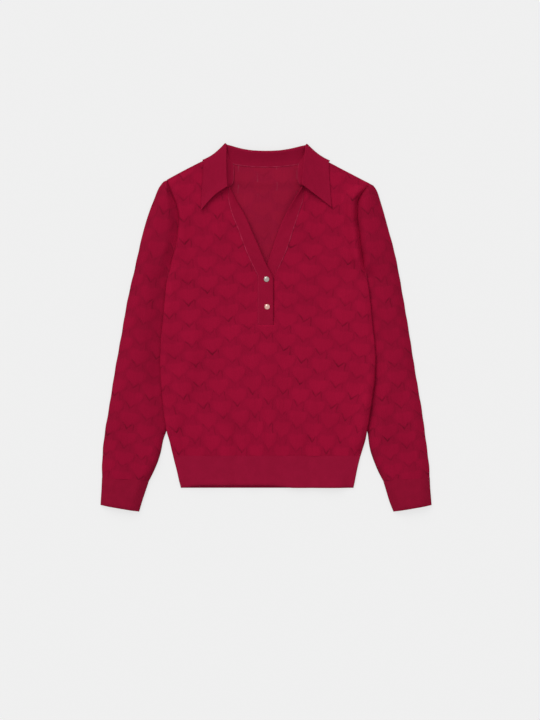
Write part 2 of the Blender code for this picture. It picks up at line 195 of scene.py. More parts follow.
# Middles of the puffed stars round one V, their half width and half height, and how far
# they point down
PUFFS = table("x y", [(1.5, -21.5), (1.5, 18.5), (34.5, -1.5), (-31.5, -1.5)])
PUFF_WIDE, PUFF_HIGH = 19.5, 13.4
PUFF_POINT, PUFF_DROP = 0.66, 0.24
PUFF_RELIEF = 0.32
FAR = 9.0                                  # further than any puff's edge, in puffs


def line_place(x, y, line):
    """Share of the way along a line, from 0 to 1, and distance from it."""
    run, rise = line.to_x - line.x, line.to_y - line.y
    share = ((x - line.x) * run + (y - line.y) * rise) / (run * run + rise * rise)
    share = np.clip(share, 0.0, 1.0)
    return share, np.hypot(x - line.x - share * run, y - line.y - share * rise)


def star_relief(columns, rows):
    """Height in mm of the puffed stars, lower round the lines."""
    column = np.round(columns)
    x = (columns - column) * REPEAT_WIDE
    rows = rows - 0.5 * (column % 2.0)
    y = (rows - np.floor(rows + CELL_TOP)) * REPEAT_HIGH
    reach = np.full_like(x, FAR)
    for puff in PUFFS:
        across = (x - puff.x) / PUFF_WIDE
        down = (y - puff.y) / PUFF_HIGH + PUFF_POINT * np.abs(across) - PUFF_DROP
        reach = np.minimum(reach, np.hypot(across, down))
    dip = np.zeros_like(x)
    for line in STAR_LINES[:RELIEF_LINES]:
        share, away = line_place(x, y, line)
        dip = np.maximum(dip, mix(line.depth, line.to_depth, share) * bell(away / LINE_REACH))
    return PUFF_RELIEF * ease((1.2 - reach) / 0.6) - LINE_RELIEF * dip - 0.15


BACK_STAR_X, BACK_STAR_Y = -41.2, 264.1    # one V's notch on the back
BACK_PITCH_X, BACK_PITCH_Y = 36.9, 39.9
BACK_ROW_SLOPE = 0.07


def back_stars(x, y):
    """Column and row of the stars on the back, seen from its inside."""
    beside = x - BACK_STAR_X
    return -beside / BACK_PITCH_X, (BACK_STAR_Y + BACK_ROW_SLOPE * beside - y) / BACK_PITCH_Y


# Creases are soft ridges and troughs from one point to another.  wide: half width; high:
# height at the middle, less than 0 for a trough
CREASE = "x y to_x to_y wide high"


def creased(x, y, creases):
    """Height in mm that a list of creases adds, fading out towards their ends."""
    height = np.zeros_like(x)
    for crease in creases:
        share, away = line_place(x, y, crease)
        height += crease.high * ease(4.0 * share) * ease(4.0 * (1.0 - share)) * bell(away / crease.wide)
    return height


def rolling(x, y, size, seed):
    """Uneven swells of about -1 to 1, made of a few crossing waves of the given size."""
    swell = np.zeros_like(x)
    for k in range(5):
        turn = seed + 2.4 * k
        across = x * np.cos(turn) + y * np.sin(turn)
        swell += np.sin(2.0 * np.pi * across / (size * (1.0 + 0.23 * k)) + seed * (k + 1.0))
    return swell / 3.0


def crisp(t, lines):
    """Draws the line next to each edge of a grid close to it, so that the cloth's cut edge
    doesn't round off the light on the cloth."""
    number = np.round(t * lines)
    t = np.where(number == 1, 0.12 / lines, t)
    return np.where(number == lines - 1, 1.0 - 0.12 / lines, t)


def placed(name, data):
    """Puts a mesh, light or camera into the scene."""
    made = bpy.data.objects.new(name, data)
    bpy.context.collection.objects.link(made)
    return made


def cloth(name, columns, rows, place, wall, material, opening=None, ring=False, even=True):
    """A sheet of cloth from a grid of squares.

    place takes u across and v along, from 0 to 1, and gives x, y and z in mm and the two
    coordinates of the cloth's own pattern, kept as its UV map.
    """
    bm = bmesh.new()
    bmesh.ops.create_grid(bm, x_segments=columns, y_segments=rows, size=0.5)
    if opening:
        middle = Vector((0.5, 0.5))
        cut = [face for face in bm.faces if opening(*(face.calc_center_median().xy + middle))]
        bmesh.ops.delete(bm, geom=cut, context="FACES")
    mesh = bpy.data.meshes.new(name)
    bm.to_mesh(mesh)
    flat = np.empty(3 * len(mesh.vertices))
    mesh.vertices.foreach_get("co", flat)
    u, v = flat.reshape(-1, 3)[:, :2].T + 0.5
    x, y, z, across, along = place(u, crisp(v, rows))
    mesh.vertices.foreach_set("co", (np.stack([x, y, z], axis=1) * MM).ravel())
    corners = np.empty(len(mesh.loops), dtype=np.int32)
    mesh.loops.foreach_get("vertex_index", corners)
    pattern = mesh.uv_layers.new(name="cloth")
    pattern.data.foreach_set("uv", np.stack([across, along], axis=1)[corners].ravel())
    bm.clear()
    bm.from_mesh(mesh)
    if ring:
        bmesh.ops.remove_doubles(bm, verts=bm.verts, dist=1e-6)
    upper = [face for face in bm.faces if face.calc_center_median().z > 0]
    if sum(face.normal.z * face.calc_area() for face in upper) < 0:
        bmesh.ops.reverse_faces(bm, faces=bm.faces)
    bm.to_mesh(mesh)
    bm.free()
    mesh.shade_smooth()
    mesh.materials.append(material)
    piece = placed(name, mesh)
    thicken = piece.modifiers.new("wall", "SOLIDIFY")
    thicken.thickness = wall * MM
    thicken.offset = 0.0
    thicken.use_even_offset = even
    thicken.use_quality_normals = True
    return piece


def linear(hex_colour):
    """sRGB hex to the linear colour that a shader takes."""
    channels = [int(hex_colour[i:i + 2], 16) / 255 for i in (0, 2, 4)]
    return (*(c / 12.92 if c <= 0.04045 else ((c + 0.055) / 1.055) ** 2.4 for c in channels), 1.0)


def add(tree, kind, *sources, output=0, **named):
    """Adds a shader node and gives one of its outputs.

    kind: its type, and its operation after a space; sources: a value, a socket or None for
    each of its first inputs; named: its settings, in lower case, and other inputs by their
    names, with _ for a space.
    """
    kind, _, operation = kind.partition(" ")
    made = tree.nodes.new("ShaderNode" + kind)
    if operation:
        made.operation = operation
    inputs = {number: source for number, source in enumerate(sources) if source is not None}
    for name, value in named.items():
        if name.islower():
            setattr(made, name, value)
        else:
            inputs[name.replace("_", " ")] = value
    for name, source in inputs.items():
        if isinstance(source, bpy.types.NodeSocket):
            tree.links.new(source, made.inputs[name])
        else:
            made.inputs[name].default_value = source
    return made.outputs[output]


def ramp(tree, value, start, end, low=0.0, high=1.0, kind="LINEAR"):
    """Takes a value to low up to start, to high from end on, and between them on the way."""
    return add(tree, "MapRange", value, start, end, low, high, interpolation_type=kind)


def blend(tree, share, colour, other):
    """A colour that turns into another one as share goes from 0 to 1."""
    return add(tree, "Mix", share, *[None] * 5, colour, other, output=2, data_type="RGBA")


def patches(tree, where, scale, detail):
    """Soft uneven patches, from about 0.25 to 0.75."""
    return add(tree, "TexNoise", noise_dimensions="2D", Vector=where, Scale=scale, Detail=detail)


def split(tree, point):
    """The first two coordinates of a point."""
    first = add(tree, "SeparateXYZ", point)
    return first, first.node.outputs[1]


def finish_of(name, **values):
    """A new material, its nodes and its shader.  values: the shader's own, with _ for a space."""
    material = bpy.data.materials.new(name)
    material.use_nodes = True
    shader = material.node_tree.nodes["Principled BSDF"]
    for socket, value in values.items():
        shader.inputs[socket.replace("_", " ")].default_value = value
    return material, material.node_tree, shader


def soft_knit(name, roughness):
    """Matt yarn with the faint halo of its loose fibres."""
    return finish_of(name, Roughness=roughness, Specular_IOR_Level=0.06, Sheen_Weight=0.03,
                     Sheen_Roughness=0.5, Sheen_Tint=linear("D03050"))


# Stitches are drawn about a third coarser than a 14-gauge knit's, so that they can show
WALE = 1.9
COURSE = 1.5


def stitches(tree, place):
    """Height from 0 to 1 of plain knit: columns of V-shaped loops, at a place in mm."""
    wales, courses = split(tree, place)
    across = add(tree, "Math PINGPONG", wales, WALE / 2)
    slant = add(tree, "Math MULTIPLY_ADD", across, 0.9, courses)
    turn = add(tree, "Math MULTIPLY", slant, 2.0 * np.pi / COURSE)
    wave = add(tree, "Math SINE", turn)
    rib = add(tree, "Math MULTIPLY", across, 1.0 / WALE)
    return add(tree, "Math MULTIPLY_ADD", wave, 0.25, rib)


def line_share(tree, point):
    """How much of a star's line is at a point of its repeat, and how much of the upright one."""
    core = 0.0
    nearness = []
    for line in STAR_LINES:
        run, rise = line.to_x - line.x, line.to_y - line.y
        long = run * run + rise * rise
        start = add(tree, "VectorMath SUBTRACT", point, (line.x, line.y, 0.0))
        along = add(tree, "VectorMath DOT_PRODUCT", start, (run / long, rise / long, 0.0), output="Value")
        along = add(tree, "Math ADD", along, 0.0, use_clamp=True)
        foot = add(tree, "VectorMath SCALE", (run, rise, 0.0), Scale=along)
        away = add(tree, "VectorMath DISTANCE", start, foot, output="Value")
        depth = add(tree, "Math MULTIPLY_ADD", along, line.to_depth - line.depth, line.depth)
        near = ramp(tree, away, 0.2, 2.0, 1.0, 0.0, "SMOOTHSTEP")
        nearness.append(near)
        near = add(tree, "Math MULTIPLY", near, depth)
        core = add(tree, "Math MAXIMUM", core, near)
    return core, nearness[UPRIGHT_LINE]


def puff_reach(tree, x, y):
    """Distance from the nearest puffed star's middle, where 1 is its edge."""
    reach = FAR
    for puff in PUFFS:
        across = add(tree, "Math MULTIPLY_ADD", x, 1.0 / PUFF_WIDE, -puff.x / PUFF_WIDE)
        down = add(tree, "Math MULTIPLY_ADD", y, 1.0 / PUFF_HIGH, -puff.y / PUFF_HIGH - PUFF_DROP)
        beside = add(tree, "Math ABSOLUTE", across)
        down = add(tree, "Math MULTIPLY_ADD", beside, PUFF_POINT, down)
        both = add(tree, "CombineXYZ", across, down)
        away = add(tree, "VectorMath LENGTH", both, output="Value")
        reach = add(tree, "Math MINIMUM", reach, away)
    return reach


def star_knit(name, base, painted_lighter_puff, line_tone_and_painted_shade, inside=False):
    """Viscose-blend knit of 14 gauge with the star repeat worked in tighter stitches.

    Matt and even.  The puffed stars are painted a little lighter and the field between them a little
    darker: painted light and shade for their relief.  The lines are painted darker, partly the tighter
    stitches' own tone and partly painted shade in their grooves.
    On the inside the lines are floats, and near the top the upright ones get lighter dashes: painted
    light for the light that shows through their openwork.
    """
    material, tree, shader = soft_knit(name, 0.82)
    cloth_map = add(tree, "UVMap", uv_map="cloth")
    waver = patches(tree, cloth_map, 2.6, 3.0).node.outputs["Color"]
    moved = add(tree, "VectorMath MULTIPLY_ADD", waver, (0.12, 0.1, 0.0), cloth_map)
    place = add(tree, "VectorMath SUBTRACT", moved, (0.06, 0.05, 0.0))
    columns, rows = split(tree, place)
    column = add(tree, "Math ROUND", columns)
    beside = add(tree, "Math SUBTRACT", columns, column)
    x = add(tree, "Math MULTIPLY", beside, REPEAT_WIDE)
    odd = add(tree, "Math PINGPONG", column, 1.0)
    row = add(tree, "Math MULTIPLY_ADD", odd, -0.5, rows)
    top = add(tree, "Math ADD", row, CELL_TOP)
    cell = add(tree, "Math FLOOR", top)
    below = add(tree, "Math SUBTRACT", row, cell)
    y = add(tree, "Math MULTIPLY", below, REPEAT_HIGH)
    core, upright = line_share(tree, add(tree, "CombineXYZ", x, y))
    # Painted light and shade: 0 on the puffed stars, which take the lighter colour, and 1 on the field
    # between them, which takes the darker one.
    shade = ramp(tree, puff_reach(tree, x, y), 0.72, 1.12, kind="SMOOTHSTEP")
    uneven = ramp(tree, patches(tree, cloth_map, 1.9, 3.0), 0.34, 0.62, 0.2, 1.15)
    motif = add(tree, "CombineXYZ", column, cell)
    chance = add(tree, "TexWhiteNoise", noise_dimensions="2D", Vector=motif)
    uneven = add(tree, "Math MULTIPLY", uneven, ramp(tree, chance, 0.0, 1.0, 0.3, 0.95))
    lines = add(tree, "Math MULTIPLY", core, uneven, use_clamp=True)
    body = blend(tree, shade, linear(painted_lighter_puff), linear(base))
    # The lines' colour is partly the tighter stitches' own tone and partly painted shade in their
    # grooves.
    colour = blend(tree, lines, body, linear(line_tone_and_painted_shade))
    streaks = add(tree, "VectorMath MULTIPLY", cloth_map, (REPEAT_WIDE * 0.45, REPEAT_HIGH * 0.02, 1.0))
    wale_tone = ramp(tree, patches(tree, streaks, 1.0, 2.0), 0.25, 0.75, 0.965, 1.035)
    tone = ramp(tree, patches(tree, cloth_map, 0.7, 1.0), 0.25, 0.75, 0.955, 1.045)
    tone = add(tree, "Math MULTIPLY", tone, wale_tone)
    colour = add(tree, "VectorMath SCALE", colour, Scale=tone)
    if inside:
        # Painted light: lighter dashes on the upright lines near the top, for the light that shows
        # through their openwork.
        top_rows = ramp(tree, rows, 0.15, 0.45, 1.0, 0.0, "SMOOTHSTEP")
        openwork_painted_light = ramp(tree, upright, 0.5, 0.95, 0.0, 0.2, "SMOOTHSTEP")
        openwork_painted_light = add(tree, "Math MULTIPLY", openwork_painted_light, uneven)
        openwork_painted_light = add(tree, "Math MULTIPLY", openwork_painted_light, top_rows, use_clamp=True)
        colour = blend(tree, openwork_painted_light, colour, linear("B4566A"))
    tree.links.new(colour, shader.inputs["Base Color"])
    in_mm = add(tree, "VectorMath MULTIPLY", cloth_map, (REPEAT_WIDE, REPEAT_HIGH, 1.0))
    sunk = add(tree, "Math MULTIPLY", lines, -0.3)
    height = add(tree, "Math MULTIPLY_ADD", stitches(tree, in_mm), 0.16, sunk)
    bump = add(tree, "Bump", Strength=1.0, Distance=MM, Height=height)
    tree.links.new(bump, shader.inputs["Normal"])
    return material


# Its lighter puff colour is painted light, and its line colour is partly painted shade.
inside_knit = star_knit("star_knit_wrong_side", base="8D1030", painted_lighter_puff="901130",
                        line_tone_and_painted_shade="820E2A", inside=True)


def back_place(u, v):
    share = 2.0 * np.abs(u - 0.5)          # 0 at the middle, 1 at the side
    side = np.sign(u - 0.5)
    neck_y = mix(HEM_SEAM_Y, SHOULDER_NECK_Y, v)
    edge_y = sided(PANEL_ROWS, "neck", side, neck_y)
    edge_x = body_side(side, edge_y)
    at_neck = SHOULDER_NECK_X / edge_x
    x = share * edge_x
    scoop = (SHOULDER_NECK_Y - follow(BACK_NECK, "x", "y", x)) * ease((v - 0.45) / 0.55)
    way = np.clip((share - at_neck) / (1.0 - at_neck), 0.0, 1.0)
    bow = np.where(side < 0.0, LEFT_SHOULDER_BOW, 0.0) * way * (1.0 - way) * v ** 4
    y = mix(neck_y, edge_y, way) + bow - np.where(share < at_neck, scoop, 0.0)
    x = x * side
    column, row = back_stars(x, y)
    swell = 0.25 + 0.2 * rolling(x, y, 60.0, 1.7)
    z = back_height(x, y) + swell + 0.3 * star_relief(column, row)
    return x, y, z, column, row


back = cloth("back", BACK_MESH_COLUMNS, BACK_MESH_ROWS, back_place, KNIT_WALL, inside_knit)
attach(back, "root")
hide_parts("back_panel")

# Front panel: the same knit, right side up, a few millimetres above the back.  It is cut
# out for the V and the placket, and sewn to the back at the sides and shoulders, where it
# dips.  Beside the armholes it rises in a soft roll.
FRONT_Z = 4.5
FRONT_HEM_Z = 3.4
FRONT_OVER_SLEEVE_Z = 8.6
FRONT_EDGE_Z = 2.2                         # at the armhole seams
SEAM_STEP = KNIT_WALL + 0.3
PLACKET_BOTTOM_Y = 6.4
PLACKET_HALF = 14.6
SIDE_COLUMNS, MIDDLE_COLUMNS, FRONT_MESH_ROWS = 78, 12, 250
FRONT_MESH_COLUMNS = 2 * SIDE_COLUMNS + MIDDLE_COLUMNS
SLOT_ROW = 108                             # the placket's cut starts at this row of the mesh

FRONT_NECK = table("y left right", [
    (6.4, 14.6, 14.6),
    (60, 14.6, 14.6),
    (90, 14.6, 14.6),
    (98, 14.8, 15),
    (111, 20.6, 21.4),
    (125, 27.4, 28.4),
    (149, 37.9, 38.8),
    (189, 52.6, 52),
    (221, 65, 62),
    (250, 70.6, 70),
    (268, 69.8, 69.4),
    (284, 64.6, 64),
    (300, 61.8, 61.2),
    (312, 63, 62.6),
    (333.5, 84.6, 84.6),
])
# The stars' places on the front.  Columns: x of every second column, which spreads round
# the V and draws in towards the hem.  Rows: y of a row at the middle, and its drop in mm
# for each column outwards
FRONT_COLUMNS = table("y c_5 c_3 c_1 c1 c3 c5", [
    (-212, -134, -73.5, -17.3, 27.7, 88, 142),
    (-168, -146, -80.4, -20.1, 29.8, 89.3, 152.6),
    (-123, -158.3, -88.7, -24.1, 32.3, 95.4, 165.9),
    (-81, -166.4, -94.4, -26, 33.1, 100.7, 173.9),
    (-41, -175.8, -101.7, -30.4, 35.2, 104.5, 177.5),
    (-1, -181.5, -106.2, -31.9, 35.2, 109.4, 180.5),
    (39, -182.4, -108.7, -37.1, 38.2, 113.1, 185.8),
    (79, -183, -111.2, -37.1, 40.7, 116.5, 190),
    (121, -184, -113.6, -42.2, 45.6, 119.7, 192),
    (159, -189, -117.2, -52.4, 50, 123.5, 194),
    (202, -190, -120.7, -61.8, 61, 127.3, 200),
    (333, -190, -121, -66, 66, 129, 200),
])
FRONT_STAR_ROWS = table("row y drop", [
    (-9, 333, 3.4),
    (-7, 254.6, 3.4),
    (-5, 174.8, 4),
    (-3, 98.2, 4.2),
    (-1, 21.9, 4.8),
    (1, -59.3, 3.6),
    (3, -145.4, 1.9),
    (5, -234.7, 1),
])
STAR_ROW_PITCH = 42.0                      # below the last row
FRONT_CREASES = table(CREASE, [
    (-8, -120, -9, -238, 5, 0.9),
    (2, -135, 1, -238, 4, -0.7),
    (-59, -172, -58, -262, 9, -2.2),
    (-44, -150, -40, -262, 9, 0.9),
    (-31, 20, -32, -125, 8, -1.1),
    (78, -200, 80, -262, 8, -1.6),
    (96, -170, 100, -262, 9, 0.7),
    (-182, 150, -168, 100, 7, 0.8),
    (176, 120, 150, 60, 9, 0.8),
])
# Heights y between which the front rises beside the V, at its upper end and over the hips:
# where each starts, how softly, where it ends and how softly
BESIDE_V = (105.0, 40.0, 235.0, 30.0)
AT_POINT = (190.0, 55.0, 262.0, 24.0)
AT_HIP = (-240.0, 40.0, 60.0, 40.0)
V_SLOPE = 42.0
SIDE_SLOPE, SHOULDER_SLOPE = 12.0, 13.0    # how far from the seams the front dips
ROLL_WIDE = 12.0
HIP_HIGH, HIP_PLACE, HIP_WIDE = 4.6, 10.0, 11.0
# The left and the right side of the front.  v, point: how far it rises along the V and at
# the V's upper end; low, rise: y where the armhole's roll starts, and how fast; drop, fade:
# the same below the shoulder; edge: from the seam to the roll; roll: its height; hip,
# hip_fall: share of the hip's roll above the sleeve, and what it loses upwards
FRONT_SWELLS = table("v point low rise drop fade edge roll hip hip_fall", [
    (3.0, 0.4, 120.0, 50.0, 14.0, 20.0, 4.0, 3.0, 0.15, 0.0),
    (1.2, 0.2, 95.0, 40.0, 10.0, 24.0, 9.5, 10.0, 1.0, 0.75),
])


def follow_back(rows, y):
    """The row, whole or between, that has its middle at y."""
    heights = np.array([entry.y for entry in rows])
    numbers = np.array([entry.row for entry in rows])
    low = numbers[-1] + (heights[-1] - y) / STAR_ROW_PITCH
    return np.where(y < heights[-1], low, np.interp(y, heights[::-1], numbers[::-1]))


def front_stars(x, y):
    """Column and row of the stars at a point of the front."""
    known = np.array([-5.0, -3.0, -1.0, 1.0, 3.0, 5.0])
    lines = np.array([follow(FRONT_COLUMNS, "y", name, y) for name in FRONT_COLUMNS[0]._fields[1:]])
    k = np.clip((lines[1:-1] < x).sum(axis=0), 0, 4)
    left = np.take_along_axis(lines, k[None], axis=0)[0]
    right = np.take_along_axis(lines, k[None] + 1, axis=0)[0]
    column = known[k] + 2.0 * (x - left) / (right - left)
    row = follow_back(FRONT_STAR_ROWS, y)
    for _ in range(3):
        drop = follow(FRONT_STAR_ROWS, "row", "drop", row)
        row = follow_back(FRONT_STAR_ROWS, y + np.abs(column) * drop)
    return column, row


def shoulder_drop(x, y):
    """Distance in y from a point of the body up to its shoulder seam."""
    tip_x = np.where(x < 0.0, LEFT_TIP_X, RIGHT_TIP_X)
    tip_y = np.where(x < 0.0, LEFT_TIP_Y, RIGHT_TIP_Y)
    share = (tip_x - np.abs(x)) / (tip_x - SHOULDER_NECK_X)
    return mix(tip_y, SHOULDER_NECK_Y, share) - y


def neck_x(x, y):
    """Half width of the V at height y."""
    return sided(FRONT_NECK, "y", x, y)


def rounded(t):
    """A quarter of a circle's rise from 0 to 1, flat beyond."""
    return np.sqrt(np.clip(1.0 - (1.0 - np.clip(t, 0.0, 1.0)) ** 2, 0.0, 1.0))


def window(t, start, rise, end, fall):
    """1 between start and end, with a soft rise after the one and fall after the other."""
    return ease((t - start) / rise) * fade((t - end) / fall)


def front_height(x, y):
    swell = FRONT_SWELLS[0]._make(np.where(x < 0.0, *pair) for pair in zip(*FRONT_SWELLS))
    level = mix(FRONT_HEM_Z, FRONT_Z, ease((y - HEM_SEAM_Y) / 45.0))
    free = mix(level, FRONT_OVER_SLEEVE_Z, over_sleeve(x, y))
    beside = fade((np.abs(x) - neck_x(x, y)) / V_SLOPE)
    free += swell.v * beside * window(y, *BESIDE_V)
    free += swell.point * beside * window(y, *AT_POINT)
    seam = back_height(x, y) + SEAM_STEP
    inside = body_side(x, y) - np.abs(x)
    side = fade(inside / SIDE_SLOPE) * fade((y - UNDERARM_Y) / UNDERARM_FADE)
    drop = shoulder_drop(x, y)
    shoulder = fade(drop / SHOULDER_SLOPE)
    at_armhole = ease((y - swell.low) / swell.rise) * ease((drop - swell.drop) / swell.fade)
    roll = swell.roll * bell((inside - swell.edge - 4.0) / ROLL_WIDE)
    dive = mix(rounded(inside / swell.edge), ease(inside / swell.edge), 0.3)
    shut = (1.0 - shoulder) * ease((y - 85.0) / 34.0)
    rim = roll * dive * at_armhole - (free - FRONT_EDGE_Z) * (1.0 - dive) * shut
    over_hip = swell.hip - swell.hip_fall * ease((y + 100.0) / 50.0)
    hip = HIP_HIGH * bell((inside - HIP_PLACE) / HIP_WIDE) - 1.4 * (1.0 - rounded(inside / 6.0))
    hip = hip * over_hip * window(y, *AT_HIP)
    return mix(free, seam, np.maximum(side, shoulder)) + rim + hip


def front_place(u, v):
    slot = SLOT_ROW / FRONT_MESH_ROWS
    neck_y = np.where(v <= slot, mix(HEM_SEAM_Y, PLACKET_BOTTOM_Y, v / slot),
                      mix(PLACKET_BOTTOM_Y, SHOULDER_NECK_Y, (v - slot) / (1.0 - slot)))
    left = u < 0.5
    side = np.where(left, -1.0, 1.0)
    number = np.round(np.where(left, u, 1.0 - u) * FRONT_MESH_COLUMNS)
    share = np.clip(number / SIDE_COLUMNS, 0.0, 1.0)
    edge_y = sided(PANEL_ROWS, "neck", side, neck_y)
    side_x = mix(body_side(side, edge_y), neck_x(side, neck_y), share)
    half = PLACKET_HALF * (1.0 - 2.0 * (number - SIDE_COLUMNS) / MIDDLE_COLUMNS)
    x = np.where(number <= SIDE_COLUMNS, side_x, half) * side
    bow = np.where(left, LEFT_SHOULDER_BOW, 0.0) * share * (1.0 - share) * v ** 4
    y = mix(edge_y, neck_y, share) + bow
    column, row = front_stars(x, y)
    z = front_height(x, y) + star_relief(column, row) + creased(x, y, FRONT_CREASES)
    z += 0.35 * rolling(x, y, 75.0, 0.6)
    return x, y, z, column, row


def front_opening(u, v):
    inner = SIDE_COLUMNS / FRONT_MESH_COLUMNS
    return inner < u < 1.0 - inner and v > SLOT_ROW / FRONT_MESH_ROWS


# Its lighter puff colour is painted light, and its line colour is partly painted shade.
outside_knit = star_knit("star_knit_right_side", base="8F092E", painted_lighter_puff="960A30",
                         line_tone_and_painted_shade="68061F")
front = cloth("front", FRONT_MESH_COLUMNS, FRONT_MESH_ROWS, front_place, KNIT_WALL, outside_knit,
              opening=front_opening)
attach(front, "root")
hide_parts("front_panel")

# Sleeves: each one flat piece of the star knit closed along the underarm, set into the
# armhole, and folded down.  The underarm side is tucked beneath the body.
SLEEVE_Z = 3.9
SLEEVE_FOLD = (SLEEVE_Z - BACK_Z) / 2.0
SLEEVE_BULGE, BULGE_EDGE = 7.0, 20.0       # height of the sleeve's soft bulge, width of its edge
SLEEVE_SEAM_INSET = 1.6
# step: place along the sleeve; x, y: its outer edge; inner: y of the same row at the body
SLEEVE_ROWS = table("step left_x left_y left_inner right_x right_y right_inner", [
    (0, 194, 278.2, 281.6, 203.2, 270.6, 274.2),
    (0.5, 199.2, 272.2, 274, 208, 264.4, 266.6),
    (1, 204.2, 264, 265, 211.6, 257, 258),
    (2, 211.4, 246, 246, 216.4, 242, 242),
    (3, 220.8, 222, 221, 223, 220, 219),
    (4, 231.6, 187, 185, 232.2, 186.2, 185),
    (5, 241, 148.2, 148, 242.6, 148.2, 148),
    (6, 249.3, 110.2, 110, 250.6, 110.2, 110),
    (7, 258.4, 72.2, 73, 257.4, 72.2, 73),
    (8, 266, 34.2, 35, 264, 34.2, 35),
    (9, 272.4, -3.8, -2, 270.4, -3.8, -2),
    (10, 279.3, -41.8, -40, 276.4, -41.8, -40),
    (11, 286.2, -79.8, -78, 282.4, -79.8, -78),
    (12, 292.2, -117.8, -117, 288.9, -117.8, -117),
    (13, 298.3, -155.8, -156, 295.4, -155.8, -156),
    (14, 304.8, -193.8, -194, 300.6, -193.8, -194),
    (15, 309.2, -231.8, -233, 305.6, -231.8, -233),
    (16, 310.8, -265, -267, 309.4, -265, -267),
    (16.6, 310.7, -284, -288, 310.3, -284, -288),
])
SLEEVE_STEPS = 16.6
# The sleeves' inner edge below the body
SLEEVE_INNER = table("y left right", [
    (-290, 222.6, 223),
    (-270, 212.8, 212.8),
    (-251, 205, 205),
    (-232, 199.4, 198.6),
    (-213, 195.6, 195),
    (-197, 190.3, 193.4),
])
SLEEVE_STARS = table("row x y", [
    (-2, 178, 300),
    (0, 194, 216),
    (2, 211.5, 127.8),
    (4, 226, 45),
    (6, 238.5, -34),
    (8, 250.9, -114),
    (10, 263, -190.7),
    (12, 272.5, -264),
    (13, 276.5, -303),
])
SLEEVE_COLUMN_PITCH = 34.6
SLEEVE_ROW_SLOPE = 0.147                   # rows fall towards the body
SLEEVE_MESH_COLUMNS, SLEEVE_MESH_ROWS = 92, 222
TOP_SHARE, FOLD_SHARE = 50 / 92, 58 / 92   # where the top layer and the fold end
SLEEVE_CREASES = table(CREASE, [
    (196, 165, 178, 120, 6, 0.8),
    (206, 120, 196, 60, 9, 0.7),
    (214, -150, 200, -215, 9, 0.8),
    (240, -40, 262, -80, 10, 0.5),
    (246, -210, 232, -270, 9, 0.5),
])
# The left and the right sleeve.  rise: width of its rise from the armhole; steep: how much
# of that is a round roll, roll: and its added height; near: width of the rise beside the
# body; dip: depth beside the body, hip_dip: and what the hip adds to it
SLEEVE_SHAPES = table("rise steep roll near dip hip_dip", [
    (24.0, 0.0, 0.0, 38.0, 0.4, 0.0),
    (15.0, 0.7, 3.0, 27.0, 0.6, 1.9),
])


def bowed(t):
    """A rise from 0 to 1 that starts less steep than a circle's."""
    return np.sin(0.5 * np.pi * np.clip(t, 0.0, 1.0))


def sleeve_place(name, side, shape):
    def place(u, v):
        step = SLEEVE_STEPS * (1.0 - v)
        outer_x, outer_y, inner_y = (follow(SLEEVE_ROWS, "step", name + end, step)
                                     for end in ("_x", "_y", "_inner"))
        body_x = follow(BODY_SIDES, "y", name, inner_y)
        hidden = body_x - follow(BODY_SIDES, "y", "tuck", inner_y) - SLEEVE_SEAM_INSET
        inner_x = mix(follow(SLEEVE_INNER, "y", name, inner_y), hidden, ease((inner_y + 204.0) / 24.0))
        ripple = 0.25 * np.sin(2.0 * np.pi * outer_y / 39.0)
        outer_x = outer_x + ripple * ease((200.0 - outer_y) / 60.0)
        long = np.hypot(outer_x - inner_x, outer_y - inner_y)
        flat = np.maximum(long - SLEEVE_FOLD, 0.3)
        over = flat * np.clip(u / TOP_SHARE, 0.0, 1.0)
        turn = np.pi * np.clip((u - TOP_SHARE) / (FOLD_SHARE - TOP_SHARE), 0.0, 1.0)
        under = flat * np.clip((u - FOLD_SHARE) / (1.0 - FOLD_SHARE), 0.0, 1.0)
        share = (over + SLEEVE_FOLD * np.sin(turn) - under) / long
        unrolled = inner_x + over + SLEEVE_FOLD * turn + under
        x = mix(inner_x, outer_x, share)
        y = mix(inner_y, outer_y, share)
        middle = follow(SLEEVE_STARS, "y", "x", y)
        row = follow_back(SLEEVE_STARS, y - SLEEVE_ROW_SLOPE * (x - middle))
        column = side * (unrolled - middle) / SLEEVE_COLUMN_PITCH
        sewn = ease((inner_y - UNDERARM_Y) / UNDERARM_FADE)
        beside = x - follow(BODY_SIDES, "y", name, y)

        edge_z = mix(BACK_Z + SEAM_STEP, SLEEVE_Z - 1.9, sewn)
        rise = np.minimum(shape.rise, long / 2.5)
        steep = mix(ease(over / rise), rounded(over / rise), shape.steep)
        at_seam = mix(ease(over / np.minimum(7.0, long / 4.0)), steep, sewn)
        near_body = ease(beside / shape.near)
        plump = SLEEVE_BULGE * bowed((flat - over) / BULGE_EDGE) * mix(near_body, at_seam, sewn)
        free_edge = mix(bowed(over / BULGE_EDGE), rounded(over / np.minimum(18.0, long / 2.5)),
                        ease((inner_y + 280.0) / 50.0))
        plump = plump * mix(free_edge, 1.0, sewn)
        roll = rounded(over / rise) * bell(np.maximum(over - rise, 0.0) / 14.0)
        plump = plump + shape.roll * sewn * roll
        puff = star_relief(column, row) + creased(x, y, SLEEVE_CREASES)
        puff = np.clip(puff + 0.3 * rolling(x, y, 55.0, 2.0 + side), -0.8, 1.4)
        puff = puff * ease((beside + 1.0) / 6.0) * rounded((flat - over) / 12.0)
        dip = (shape.dip + shape.hip_dip * fade((y + 100.0) / 50.0)) * bell(beside / 13.0)
        dip = dip * (1.0 - sewn) * ease((y + 215.0) / 20.0)
        top = mix(edge_z, SLEEVE_Z, at_seam) + plump + puff - dip
        z = mix(BACK_Z, top, 0.5 + 0.5 * np.cos(turn))
        return side * x, y, z, column, row
    return place


SIDES = (("left", -1.0), ("right", 1.0))
